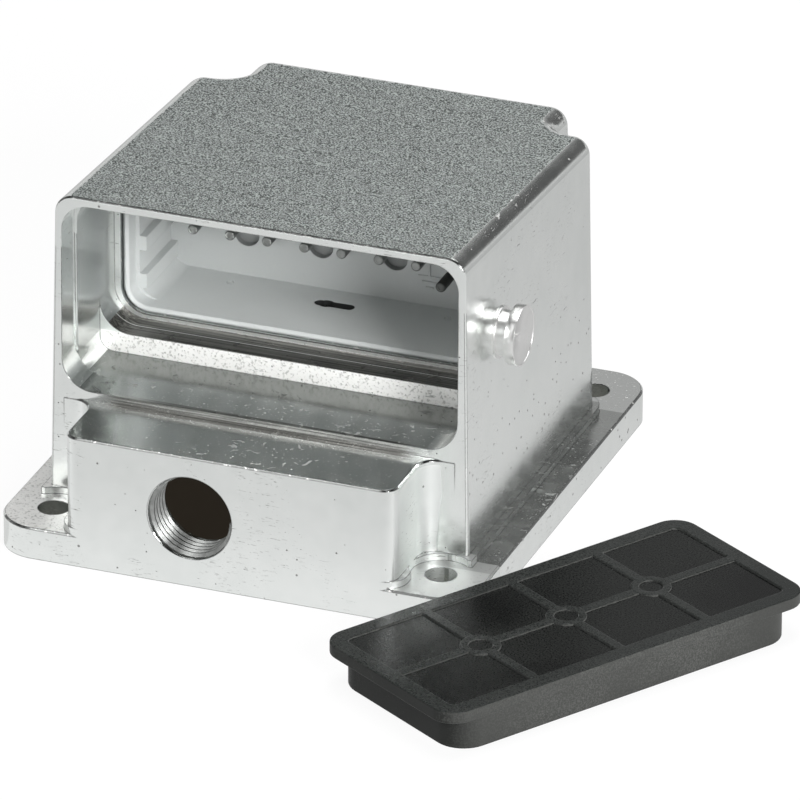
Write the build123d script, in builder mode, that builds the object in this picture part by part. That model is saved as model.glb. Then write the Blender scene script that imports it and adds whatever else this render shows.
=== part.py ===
from build123d import *
import os
from math import atan, cos, radians, sin, tan

os.makedirs("parts", exist_ok=True)

# Heavy duty rectangular connector: a die-cast bulkhead housing with a
# horizontal mating opening, its pin insert, earthing and loose dust cover.
# Millimetres. X runs along the mating face, Y from the mating face to the
# rear, Z up. The origin is the middle of the underside of the base plate.

# Base plate
plate_width = 100.0
plate_depth = 107.0
plate_thick = 6.7
plate_corner = 8.5
plate_edge = 0.35
fixing_hole = 6.3
fixing_inset_x = 9.4
fixing_inset_y = 9.9
spot_face = 12.4

# Outside of the housing
draft = 1.0
body_side_inset = 6.1
body_front_inset = 16.1
body_rear_inset = 15.5
roof_fall = 4.8
roof_edge = 3.8
corner_round = 5.0
corner_hollow = 4.2
rear_corner = 4.0
front_arris = 0.35
block_setback = 9.4
block_corner = 3.0
rear_block_lean = 4.0
plinth_height = 8.2
plinth_ledge = 1.3

# Walls
wall = 3.0
roof_wall = 2.8
rim_side = 2.6
rim_top = 1.8

# Cable entry through the front block, bored to its thread's outside diameter
entry_x = -8.0
entry_bore = 17.4
entry_wall = 2.8
entry_length = 9.0
entry_floor = 3.3
entry_cover = 1.7
entry_lead_in = 0.2

# Mating opening, from the front face inwards; its height also sets the body's
opening_height = 39.6
sill_rise = 1.8
sill_round = 6.5
lintel_round = 5.6
lip_depth = 7.8
lip_step = 0.5
recess_depth = 19.2
recess_round = 3.0
step_rise = 4.2
step_round = 6.5
tread_depth = 7.9
bore_step = 1.4
bore_rise = 0.9
bore_round = 5.5
bore_drop = 3.3
floor_wall = 2.6

# Contact insert
insert_gap = 0.15
insert_wall = 1.2
insert_depth = 21.2
insert_back = 5.0
insert_rim = 0.5
rib_height = 3.1
rib_first = 3.6
rib_pitch = 8.2
rib_depth = 1.5
rib_setback = 4.0
side_step = 0.8

# Keyhole slot in the insert's floor, and the relief in the housing under it
slot_length = 8.4
slot_width = 2.4
slot_eye = 3.2
slot_eye_shift = 1.7
slot_back = 6.4
slot_relief = 3.0

# Round recesses in the insert's back wall, below the lower row
pocket_dia = 5.2
pocket_depth = 1.6
pocket_drop = 5.6
pocket_shift = 1.4

# Contacts: a round pin, then a square clamp barrel with a mouth for the wire
contact_columns = 8
contact_pitch = 7.85
row_shift = 0.4
row_rise = 8.0
contact_dia = 2.1
contact_nose = 0.5
contact_reach = 13.2
earth_reach = 20.4
barrel_width = 3.8
wire_mouth = 2.4
wire_mouth_depth = 7.0
contact_gap = 0.1

# Bulkhead and terminal block behind the insert
bulkhead_thick = 2.6
bulkhead_gap = 0.4
terminal_depth = 13.0
terminal_side = 4.0
terminal_margin = 4.6
barrel_inset = 1.0
clamp_window = 2.6
clamp_inset = 4.0

# Earth plate
earth_plate = 0.8
earth_plate_width = 9.0
earth_plate_bend = 0.4
earth_lug = 6.8

# Locking pegs
peg_back = 19.9
peg_height = 47.7
peg_neck = 9.2
peg_neck_length = 2.8
peg_head = 12.2
peg_head_length = 2.0
peg_head_edge = 0.4
peg_seat = 1.5

# Base gasket in its groove
gasket_offset = 0.6
gasket_width = 1.4
gasket_depth = 1.2

# Clearance all round between pieces that fit in each other, how far a cut runs
# past the face that it opens, and how near a place or direction must be to be found
fit_gap = 0.05
overrun = 1.0
near = 0.01
same_way = 0.9999

# Dust cover, lying on the floor beside the corner of the base plate
cover_gap = 0.4
cover_flange = 2.5
cover_overhang_ends = 3.0
cover_overhang_long = 1.2
cover_skirt = 7.0
cover_wall = 1.8
cover_edge = 0.6
cover_corner = 5.0
cover_border = 3.6
cover_cell_round = 1.6
cover_cell_depth = 0.5
cover_rib = 2.2
cover_boss = 8.0
cover_dimple = 4.8
cover_turn = 57.6
cover_space = 1.7
cover_along = 6.5

# Derived places
body_width = plate_width - 2 * body_side_inset
block_width = body_width - 2 * block_setback
plate_front = -plate_depth / 2
plate_rear = plate_depth / 2
body_front = plate_front + body_front_inset
body_rear = plate_rear - body_rear_inset
roof_slope = atan(roof_fall / (body_rear - body_front))
entry_boss = entry_bore + 2 * entry_wall
entry_height = entry_floor + entry_boss / 2
front_block_height = entry_height + entry_boss / 2 + entry_cover
sill_height = front_block_height + sill_rise
rim_half = body_width / 2 - rim_side
recess_half = rim_half - lip_step
bore_half = recess_half - bore_step
lintel_height = sill_height + opening_height
body_height = lintel_height + rim_top
lip_back = body_front + lip_depth
step_front = body_front + recess_depth
bore_front = step_front + tread_depth
step_height = sill_height + step_rise
bore_low = step_height + bore_rise
insert_rear = bore_front + insert_depth + insert_back
bulkhead_rear = insert_rear + bulkhead_thick
terminal_rear = bulkhead_rear + terminal_depth


def roof_at(y):
    """Height of the roof's outer face at a distance y from the middle."""
    return body_height - (y - body_front) * roof_fall / (body_rear - body_front)


bore_high = roof_at(bore_front) - bore_drop
insert_half = bore_half - insert_gap
insert_front = bore_front + insert_rim
insert_round = bore_round - insert_gap
inner_round = insert_round - insert_wall
back_wall = bore_front + insert_depth
insert_low = bore_low + insert_gap
insert_high = bore_high - insert_gap
inner_half = insert_half - insert_wall
inner_low = insert_low + insert_wall
inner_high = insert_high - insert_wall
row_low = (insert_low + insert_high) / 2 + row_shift
row_high = row_low + row_rise
columns = [(i - (contact_columns - 1) / 2) * contact_pitch for i in range(contact_columns)]
earth_x = columns[-1]
contact_places = [(x, row_low) for x in columns[:-1]] + [(x, row_high) for x in columns]
terminal_half = columns[-1] + terminal_side
terminal_low = row_low - terminal_margin
terminal_high = row_high + terminal_margin
barrel_rear = terminal_rear - barrel_inset
clamp_y = terminal_rear - clamp_inset
peg_y = body_front + peg_back
peg_wall = body_width / 2 - peg_height * tan(radians(draft))


def across(y):
    """Upright plane at y whose sketch axes are world X and Z; it faces forward."""
    return Plane.XZ.offset(-y)


def beside(side, x):
    """Upright plane that faces right (side 1) or left (side -1), at x from the middle."""
    return Plane(origin=(side * x, 0, 0), x_dir=(0, side, 0), z_dir=(side, 0, 0))


def window(half_width, low, high, low_round, high_round):
    """Upright opening in the active sketch, with its own bottom and top corner radii."""
    with Locations((0, (low + high) / 2)):
        Rectangle(2 * half_width, high - low)
    fillet(vertices().group_by(Axis.Y)[0], low_round)
    fillet(vertices().group_by(Axis.Y)[-1], high_round)


def inner_corners(y):
    """Corners of the active sketch on the line across at y, those nearest the middle first."""
    row = vertices().filter_by_position(Axis.Y, y - near, y + near)
    return row.sort_by(lambda v: abs(v.X))


def body_outline(grow=0.0):
    """Plan of the body and rear block in the active sketch, moved outwards by grow."""
    low, high = body_front - grow, body_rear + grow
    with Locations((0, (low + high) / 2)):
        Rectangle(body_width + 2 * grow, high - low)
    with Locations((0, (high + plate_rear + grow) / 2)):
        Rectangle(block_width + 2 * grow, plate_rear + grow - high)
    fillet(inner_corners(high)[2:], corner_round + grow)
    fillet(inner_corners(high)[:2], corner_hollow - grow)


def front_block_outline(grow=0.0):
    """Plan of the front block in the active sketch, flaring into the body's front."""
    root = body_front - grow + (front_block_height - plate_thick) * tan(radians(draft))
    with Locations((0, (plate_front + root) / 2)):
        Rectangle(block_width + 2 * grow, root - plate_front)
    with Locations((0, root + wall / 2)):
        Rectangle(body_width - 2 * wall, wall)
    fillet(vertices().group_by(Axis.Y)[0], block_corner + grow)
    fillet(inner_corners(root)[:2], corner_hollow - grow)


def body_hollow():
    """Plan of the hollow in the body and rear block in the active sketch."""
    low, high = body_front + wall, body_rear - wall
    with Locations((0, (low + high) / 2)):
        Rectangle(body_width - 2 * wall, high - low)
    with Locations((0, (low + plate_rear - wall) / 2)):
        Rectangle(block_width - 2 * wall, plate_rear - wall - low)


def underside_outline(grow):
    """Plan round the opening in the underside in the active sketch, grow outside its edge."""
    low, high = body_front + wall - grow, body_rear - wall + grow
    with Locations((0, (low + high) / 2)):
        Rectangle(body_width - 2 * (wall - grow), high - low)
    Rectangle(block_width - 2 * (wall - grow), plate_depth - 2 * (wall - grow))


def contact(x, z, tip, rear, wired=True):
    """Contact: round pin through the insert, then a square barrel against its back."""
    with BuildPart() as piece:
        with BuildSketch(across(insert_rear)):
            with Locations((x, z)):
                Circle(contact_dia / 2)
        extrude(amount=insert_rear - tip)
        chamfer(piece.faces().sort_by(Axis.Y)[0].edges(), contact_nose)
        with BuildSketch(across(rear)):
            with Locations((x, z)):
                Rectangle(barrel_width, barrel_width)
        extrude(amount=rear - insert_rear)
        if wired:
            with BuildSketch(across(rear)):
                with Locations((x, z)):
                    Rectangle(wire_mouth, wire_mouth)
            extrude(amount=wire_mouth_depth, mode=Mode.SUBTRACT)
    return piece.part


def save(solid, name):
    """Label a finished piece and write it under its own name."""
    solid.label = name
    export_step(solid, f"parts/{name}.step")


roof_plane = Plane(
    origin=(0, body_front, body_height),
    x_dir=(1, 0, 0),
    z_dir=(0, sin(roof_slope), cos(roof_slope)),
)
rear_lean = atan(rear_block_lean / body_height)
rear_plane = Plane(
    origin=(0, plate_rear, 0),
    x_dir=(1, 0, 0),
    z_dir=(0, cos(rear_lean), sin(rear_lean)),
)
fixing_x = plate_width / 2 - fixing_inset_x
fixing_y = plate_depth / 2 - fixing_inset_y
cover_half_long = rim_half - cover_gap
cover_half_short = (lintel_height - sill_height) / 2 - cover_gap
cover_round = sill_round - cover_gap
cover_top = cover_skirt + cover_flange
flange_half_long = cover_half_long + cover_overhang_ends
flange_half_short = cover_half_short + cover_overhang_long
cover_long = Vector(cos(radians(cover_turn)), sin(radians(cover_turn)), 0)
cover_side = Vector(sin(radians(cover_turn)), -cos(radians(cover_turn)), 0)
plate_corner_centre = Vector(plate_width / 2 - plate_corner, plate_front + plate_corner, 0)
cover_reach = plate_corner + cover_space + flange_half_short
cover_plane = Plane(
    origin=plate_corner_centre + cover_side * cover_reach + cover_long * cover_along,
    x_dir=cover_long,
    z_dir=(0, 0, 1),
)

# Outside form of the body and its rear block, without the base plate
with BuildPart() as body:
    with BuildSketch():
        body_outline()
    extrude(amount=body_height, taper=draft)
    split(bisect_by=roof_plane, keep=Keep.BOTTOM)
    split(bisect_by=rear_plane, keep=Keep.BOTTOM)
    rear_face = body.faces().filter_by(lambda f: f.normal_at().dot(rear_plane.z_dir) > same_way)
    upright = rear_face.edges().filter_by(lambda e: abs(e.tangent_at(0.5).Z) > cos(2 * rear_lean))
    fillet(upright, rear_corner)
    roof = body.faces().filter_by(lambda f: f.normal_at().dot(roof_plane.z_dir) > same_way)
    fillet(roof.edges().sort_by(lambda e: e.center().Y)[1:], roof_edge)
    front = body.faces().sort_by(lambda f: f.normal_at().Y)[0]
    chamfer(front.edges().sort_by(lambda e: e.center().Z)[1:], front_arris)

# Foot all round the walls, cut back round the fixing screws
with BuildPart() as plinth:
    with BuildSketch():
        body_outline(plinth_ledge)
    extrude(amount=plinth_height)
    split(bisect_by=across(plate_rear), keep=Keep.TOP)
    with BuildSketch():
        front_block_outline(plinth_ledge)
    extrude(amount=plinth_height)
    with BuildSketch(Plane.XY.offset(plate_thick)):
        with GridLocations(2 * fixing_x, 2 * fixing_y, 2, 2):
            Circle(spot_face / 2)
    extrude(amount=plinth_height, mode=Mode.SUBTRACT)

# Front block with the cable entry, its top edge slightly broken
with BuildPart() as front_block:
    with BuildSketch():
        front_block_outline()
    extrude(amount=front_block_height)
    top = front_block.faces().sort_by(Axis.Z)[-1]
    chamfer(top.edges().sort_by(lambda e: e.center().Y)[:-1], front_arris)

# Hollow inside the walls: behind the bulkhead it follows the plan, the roof
# and the leaning rear face; under the mating recess it takes the wires.
with BuildPart() as chamber:
    with BuildSketch(Plane.XY.offset(-overrun)):
        body_hollow()
    extrude(amount=body_height, taper=draft)
    split(bisect_by=roof_plane.offset(-roof_wall), keep=Keep.BOTTOM)
    split(bisect_by=rear_plane.offset(-wall), keep=Keep.BOTTOM)
    split(bisect_by=across(bulkhead_rear), keep=Keep.BOTTOM)
    with BuildSketch(Plane.XY.offset(-overrun)):
        body_hollow()
    extrude(amount=overrun + sill_height - floor_wall, taper=draft)
    with BuildSketch(Plane.XY.offset(-overrun)):
        with Locations((0, (plate_front + body_front + 3 * wall) / 2)):
            Rectangle(block_width - 2 * wall, body_front + wall - plate_front)
    extrude(amount=overrun + front_block_height - roof_wall)
    with BuildSketch(Plane.XY.offset(-overrun)):
        with Locations((0, (step_front + floor_wall + bulkhead_rear) / 2)):
            Rectangle(2 * (bore_half - floor_wall), bulkhead_rear - step_front - floor_wall)
    extrude(amount=overrun + bore_low - floor_wall - slot_relief)

# The die-cast housing
with BuildPart() as housing:
    with BuildSketch():
        RectangleRounded(plate_width, plate_depth, plate_corner)
    extrude(amount=plate_thick)
    chamfer(housing.faces().sort_by(Axis.Z)[-1].edges(), plate_edge)
    add(body.part)
    add(plinth.part)
    add(front_block.part)

    # Mating opening: lip, recess, step and bore for the insert
    with BuildSketch(across(lip_back)):
        window(rim_half, sill_height, lintel_height, sill_round, lintel_round)
    extrude(amount=lip_depth + wall, mode=Mode.SUBTRACT)
    with BuildSketch(across(step_front)):
        window(recess_half, sill_height, roof_at(step_front) - rim_top, recess_round, lintel_round)
    extrude(amount=recess_depth - lip_depth, mode=Mode.SUBTRACT)
    with BuildSketch(across(bore_front)):
        window(recess_half, step_height, roof_at(bore_front) - rim_top, step_round, lintel_round)
    extrude(amount=tread_depth, mode=Mode.SUBTRACT)
    with BuildSketch(across(insert_rear)):
        window(bore_half, bore_low, bore_high, bore_round, bore_round)
    extrude(amount=insert_rear - bore_front, mode=Mode.SUBTRACT)
    with BuildSketch(Plane.XY.offset(bore_low)):
        with Locations((0, back_wall - slot_back)):
            Rectangle(slot_length + slot_width, slot_eye + slot_width)
    extrude(amount=-slot_relief, mode=Mode.SUBTRACT)

    # Hollow inside, and the window for the terminal block in the bulkhead
    add(chamber.part, mode=Mode.SUBTRACT)
    with BuildSketch(across(bulkhead_rear)):
        with Locations((0, (terminal_low + terminal_high) / 2)):
            Rectangle(2 * (terminal_half + bulkhead_gap), terminal_high - terminal_low + 2 * bulkhead_gap)
    extrude(amount=bulkhead_thick, mode=Mode.SUBTRACT)

    # Cable entry with its inner boss
    with BuildSketch(across(plate_front + entry_length)):
        with Locations((entry_x, entry_height)):
            Circle(entry_boss / 2)
    extrude(amount=entry_length - wall / 2)
    with BuildSketch(across(plate_front + entry_length)):
        with Locations((entry_x, entry_height)):
            Circle(entry_bore / 2)
    extrude(amount=entry_length + overrun, mode=Mode.SUBTRACT)
    rings = housing.edges().filter_by(GeomType.CIRCLE)
    mouth = rings.filter_by(lambda e: abs(e.radius - entry_bore / 2) < near).sort_by(Axis.Y)[0]
    chamfer(mouth, entry_lead_in)

    # Fixing holes, and the seats of the pegs
    with GridLocations(2 * fixing_x, 2 * fixing_y, 2, 2):
        Hole(fixing_hole / 2)
    for side in (1, -1):
        with BuildSketch(beside(side, peg_wall - peg_seat)):
            with Locations((side * peg_y, peg_height)):
                Circle(peg_neck / 2 + fit_gap)
        extrude(amount=wall, mode=Mode.SUBTRACT)

    # Groove for the base gasket
    with BuildSketch() as ring:
        underside_outline(gasket_offset + gasket_width)
        with BuildSketch(mode=Mode.PRIVATE) as hole:
            underside_outline(gasket_offset)
        add(hole.sketch, mode=Mode.SUBTRACT)
    extrude(amount=gasket_depth, mode=Mode.SUBTRACT)
save(housing.part, "housing")

# Locking pegs, one in each side wall
for side, name in ((1, "locking_peg_right"), (-1, "locking_peg_left")):
    with BuildPart() as peg:
        with BuildSketch(beside(side, peg_wall - peg_seat)):
            with Locations((side * peg_y, peg_height)):
                Circle(peg_neck / 2)
        extrude(amount=peg_seat + peg_neck_length)
        with BuildSketch(beside(side, peg_wall + peg_neck_length)):
            with Locations((side * peg_y, peg_height)):
                Circle(peg_head / 2)
        extrude(amount=peg_head_length)
        head = peg.faces().sort_by(Axis.X)[-1 if side > 0 else 0]
        chamfer(head.edges(), peg_head_edge)
    save(peg.part, name)

# Plastic insert: an open box whose back wall holds the contacts
with BuildPart() as contact_insert:
    with BuildSketch(across(insert_rear)):
        window(insert_half, insert_low, insert_high, insert_round, insert_round)
    extrude(amount=insert_rear - insert_front)
    with BuildSketch(across(back_wall)):
        window(inner_half - side_step, inner_low, inner_high, inner_round, inner_round)
    extrude(amount=insert_depth, mode=Mode.SUBTRACT)
    with BuildSketch(across(insert_front + rib_setback)):
        window(inner_half, inner_low, inner_high, inner_round, inner_round)
    extrude(amount=rib_setback, mode=Mode.SUBTRACT)
    rim = contact_insert.faces().sort_by(Axis.Y)[0]
    chamfer(rim.edges(), insert_rim)

    # Ribs on the side walls
    rib_room = inner_high - inner_low - rib_first - rib_height / 2
    with BuildSketch(across(back_wall)):
        for row in range(int(rib_room / rib_pitch) + 1):
            for side in (1, -1):
                with Locations((side * (inner_half - side_step), inner_low + rib_first + row * rib_pitch)):
                    Rectangle(2 * rib_depth, rib_height)
    extrude(amount=back_wall - insert_front - rib_setback)
    with BuildSketch(across(insert_rear)):
        Rectangle(4 * body_width, 4 * body_height)
        with BuildSketch(mode=Mode.PRIVATE) as outside:
            window(insert_half, insert_low, insert_high, insert_round, insert_round)
        add(outside.sketch, mode=Mode.SUBTRACT)
    extrude(amount=insert_rear - insert_front - insert_rim, mode=Mode.SUBTRACT)

    # Contact holes, recesses in the back wall and slot in the floor
    with BuildSketch(across(insert_rear)):
        with Locations(*contact_places, (earth_x, row_low)):
            Circle(contact_dia / 2 + contact_gap)
    extrude(amount=insert_back, mode=Mode.SUBTRACT)
    with BuildSketch(across(back_wall + pocket_depth)):
        with Locations(*[(x - pocket_shift, row_low - pocket_drop) for x in columns[1:6:2]]):
            Circle(pocket_dia / 2)
    extrude(amount=pocket_depth, mode=Mode.SUBTRACT)
    with BuildSketch(Plane.XY.offset(inner_low)):
        with Locations((0, back_wall - slot_back)):
            SlotOverall(slot_length, slot_width)
        with Locations((-slot_eye_shift, back_wall - slot_back)):
            Circle(slot_eye / 2)
    extrude(amount=-insert_wall, mode=Mode.SUBTRACT)
save(contact_insert.part, "contact_insert")

# Terminal block behind the insert, through the window in the bulkhead
with BuildPart() as terminal_block:
    with BuildSketch(across(terminal_rear)):
        with Locations((0, (terminal_low + terminal_high) / 2)):
            Rectangle(2 * terminal_half, terminal_high - terminal_low)
    extrude(amount=terminal_rear - insert_rear)
    chamfer(terminal_block.faces().sort_by(Axis.Y)[-1].edges(), earth_plate_bend)
    with BuildSketch(across(terminal_rear)):
        with Locations(*contact_places, (earth_x, row_low)):
            Rectangle(barrel_width + 2 * contact_gap, barrel_width + 2 * contact_gap)
    extrude(amount=terminal_rear - insert_rear, mode=Mode.SUBTRACT)
    for row, outer, turn in ((row_low, terminal_low, 1), (row_high, terminal_high, -1)):
        with BuildSketch(Plane.XY.offset(outer)):
            with Locations(*[(x, clamp_y) for x, z in contact_places if z == row]):
                Rectangle(clamp_window, clamp_window)
        extrude(amount=turn * terminal_margin, mode=Mode.SUBTRACT)
save(terminal_block.part, "terminal_block")

# Contacts: two rows, and the longer earth contact at the end of the lower row
for number, (x, z) in enumerate(contact_places, start=1):
    save(contact(x, z, back_wall - contact_reach, barrel_rear), f"contact_pin_{number:02d}")
earth_rear = terminal_rear + 2 * earth_plate
save(contact(earth_x, row_low, back_wall - earth_reach, earth_rear, wired=False), "earth_pin")

# Earth plate: a folded strip from the earth contact to the bulkhead
with BuildPart() as folded_strip:
    strip_rear = terminal_rear + earth_plate / 2
    strip_front = bulkhead_rear + earth_plate / 2
    strip_side = terminal_half + fit_gap + earth_plate / 2
    with BuildSketch(Plane.XY.offset(row_low - earth_plate_width / 2)):
        with BuildLine():
            FilletPolyline(
                (earth_x - barrel_width, strip_rear),
                (strip_side, strip_rear),
                (strip_side, strip_front),
                (strip_side + earth_lug, strip_front),
                radius=earth_plate_bend + earth_plate / 2,
            )
        trace(line_width=earth_plate)
    extrude(amount=earth_plate_width)
    with BuildSketch(across(earth_rear)):
        with Locations((earth_x, row_low)):
            Rectangle(barrel_width + 2 * fit_gap, barrel_width + 2 * fit_gap)
    extrude(amount=2 * earth_plate, mode=Mode.SUBTRACT)
save(folded_strip.part, "earth_plate")

# Gasket in the groove of the underside
with BuildPart() as base_gasket:
    with BuildSketch():
        underside_outline(gasket_offset + gasket_width - fit_gap)
        with BuildSketch(mode=Mode.PRIVATE) as hole:
            underside_outline(gasket_offset + fit_gap)
        add(hole.sketch, mode=Mode.SUBTRACT)
    extrude(amount=gasket_depth - fit_gap)
save(base_gasket.part, "base_gasket")

# Dust cover: a skirt that fits the mating opening under a ribbed flange
with BuildPart() as dust_cover:
    with BuildSketch(cover_plane):
        RectangleRounded(2 * cover_half_long, 2 * cover_half_short, cover_round)
    extrude(amount=cover_skirt)
    with BuildSketch(cover_plane.offset(cover_skirt)):
        RectangleRounded(2 * flange_half_long, 2 * flange_half_short, cover_corner)
    extrude(amount=cover_flange)
    chamfer(dust_cover.faces().sort_by(Axis.Z)[-1].edges(), cover_edge)
    with BuildSketch(cover_plane):
        RectangleRounded(2 * (cover_half_long - cover_wall), 2 * (cover_half_short - cover_wall),
                         cover_round - cover_wall)
    extrude(amount=cover_top - cover_wall - cover_cell_depth, mode=Mode.SUBTRACT)
    cell_long = (2 * (flange_half_long - cover_border) - 3 * cover_rib) / 4
    cell_short = (2 * (flange_half_short - cover_border) - cover_rib) / 2
    with BuildSketch(cover_plane.offset(cover_top)):
        with GridLocations(cell_long + cover_rib, cell_short + cover_rib, 4, 2):
            RectangleRounded(cell_long, cell_short, cover_cell_round)
    extrude(amount=-cover_cell_depth, mode=Mode.SUBTRACT)
    with BuildSketch(cover_plane.offset(cover_top)):
        with GridLocations(cell_long + cover_rib, 1, 3, 1):
            Circle(cover_boss / 2)
    extrude(amount=-cover_cell_depth)
    with BuildSketch(cover_plane.offset(cover_top)):
        with GridLocations(cell_long + cover_rib, 1, 3, 1):
            Circle(cover_dimple / 2)
    extrude(amount=-cover_cell_depth, mode=Mode.SUBTRACT)
save(dust_cover.part, "dust_cover")
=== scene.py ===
# %% [markdown]
# # A heavy duty rectangular connector, photographed on white
# The object is a die-cast bulkhead housing with a mating opening in its front,
# a grey plastic contact insert inside, two locking pegs, a threaded cable entry
# and a black dust cover that lies beside it. The measured solids come from the
# imported model, already in place and in metres. What is made here is what a
# camera needs beyond them: finishes, the thread, rounded contact tips, screws
# and the soft edges of the cover. The first cell loads the solids and can read
# the box of each.

# %% Load the measured model
import math
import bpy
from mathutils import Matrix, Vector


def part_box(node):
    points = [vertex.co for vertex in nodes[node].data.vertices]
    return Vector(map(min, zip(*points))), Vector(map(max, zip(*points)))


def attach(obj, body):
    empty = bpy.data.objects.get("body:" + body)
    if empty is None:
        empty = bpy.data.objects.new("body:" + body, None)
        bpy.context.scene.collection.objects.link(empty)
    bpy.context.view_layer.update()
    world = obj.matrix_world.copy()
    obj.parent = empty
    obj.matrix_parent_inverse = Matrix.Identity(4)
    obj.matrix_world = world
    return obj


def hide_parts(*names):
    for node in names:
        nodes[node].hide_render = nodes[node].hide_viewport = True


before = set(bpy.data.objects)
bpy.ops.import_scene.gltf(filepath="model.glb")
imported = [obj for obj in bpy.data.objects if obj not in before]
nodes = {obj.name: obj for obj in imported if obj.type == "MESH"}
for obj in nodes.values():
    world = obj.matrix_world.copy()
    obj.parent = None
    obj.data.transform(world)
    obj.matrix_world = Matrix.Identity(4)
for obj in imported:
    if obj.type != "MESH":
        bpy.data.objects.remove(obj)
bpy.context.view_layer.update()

from types import SimpleNamespace

import bmesh
import bpy
from mathutils import Matrix, Vector

MM = 0.001

# %% [markdown]
# ## The camera
# The picture was taken with a long lens from the front right and above, so the
# edges stay almost parallel. A camera is placed most surely from its direction:
# an azimuth round the object, an elevation above the floor and a small roll.
# The distance belongs to the lens, here 540 mm on a 36 mm wide sensor. The
# object's origin lies a little off the middle of the picture, and that is a
# move of the camera along its own right and up axes, not a shift of the lens.

# %% Place the camera
CAMERA_AZIMUTH, CAMERA_ELEVATION, CAMERA_ROLL = 20.699, 26.122, 0.114
CAMERA_DISTANCE, CAMERA_RIGHT, CAMERA_UP = 2382.8, 14.584, 15.605
LENS, SENSOR = 540, 36


def camera_axes(azimuth, elevation, roll):
    """The camera's own right, up and backward directions."""
    a, e, r = (math.radians(v) for v in (azimuth, elevation, roll))
    back = Vector((math.sin(a) * math.cos(e), -math.cos(a) * math.cos(e), math.sin(e)))
    level = Vector((math.cos(a), math.sin(a), 0))
    steep = back.cross(level)
    right = level * math.cos(r) + steep * math.sin(r)
    up = steep * math.cos(r) - level * math.sin(r)
    return right, up, back


right, up, back = camera_axes(CAMERA_AZIMUTH, CAMERA_ELEVATION, CAMERA_ROLL)
place = (right * CAMERA_RIGHT + up * CAMERA_UP + back * CAMERA_DISTANCE) * MM
lens = bpy.data.cameras.new("camera")
lens.lens, lens.sensor_width = LENS, SENSOR
lens.clip_start, lens.clip_end = 0.1, 20
camera = bpy.data.objects.new("camera", lens)
turn = Matrix((right, up, back)).transposed().to_4x4()
camera.matrix_world = Matrix.Translation(place) @ turn
bpy.context.scene.collection.objects.link(camera)
bpy.context.scene.camera = camera
print("camera at", [round(v, 3) for v in place])

# %% [markdown]
# ## Writing shader nodes as sums
# A finish is a graph of nodes, and a long graph is hard to read in code. A
# `Wire` is one output of a node, and adding, multiplying or comparing wires
# adds Math nodes. Colours and vectors can't go that way, because a Math node
# turns a colour grey.

# %% The wire
def plug(tree, socket, value):
    """Give a socket a wire or a plain value."""
    if isinstance(value, Wire):
        tree.links.new(value.socket, socket)
    elif hasattr(value, "__len__") and len(value) == 3 and len(socket.default_value) == 4:
        socket.default_value = (*value, 1)
    else:
        socket.default_value = value


class Wire:
    """One output of a shader node, with arithmetic that adds Math nodes."""

    def __init__(self, tree, socket):
        self.tree, self.socket = tree, socket

    def math(self, operation, *others):
        node = self.tree.nodes.new("ShaderNodeMath")
        node.operation = operation
        for socket, value in zip(node.inputs, (self, *others)):
            plug(self.tree, socket, value)
        return Wire(self.tree, node.outputs[0])

    def __add__(self, other):
        return self.math("ADD", other)

    def __mul__(self, other):
        return self.math("MULTIPLY", other)

    def __sub__(self, other):
        return self.math("SUBTRACT", other)

    def __rsub__(self, other):
        return self.math("MULTIPLY", -1).math("ADD", other)

    def __gt__(self, other):
        return self.math("GREATER_THAN", other)

    def __lt__(self, other):
        return self.math("LESS_THAN", other)

    __radd__ = __add__
    __rmul__ = __mul__


print("wires can be added, multiplied and compared")

# %% [markdown]
# ## The finish
# A `Finish` holds the nodes of a material, and of the world as well. Its method
# `node` makes any node from its type, its settings and its sockets, and the
# short methods below it name the nodes that come up again and again.

# %% The finish
MIX_SOCKETS = {"FLOAT": (2, 3, 0), "VECTOR": (4, 5, 1), "RGBA": (6, 7, 2)}


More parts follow.
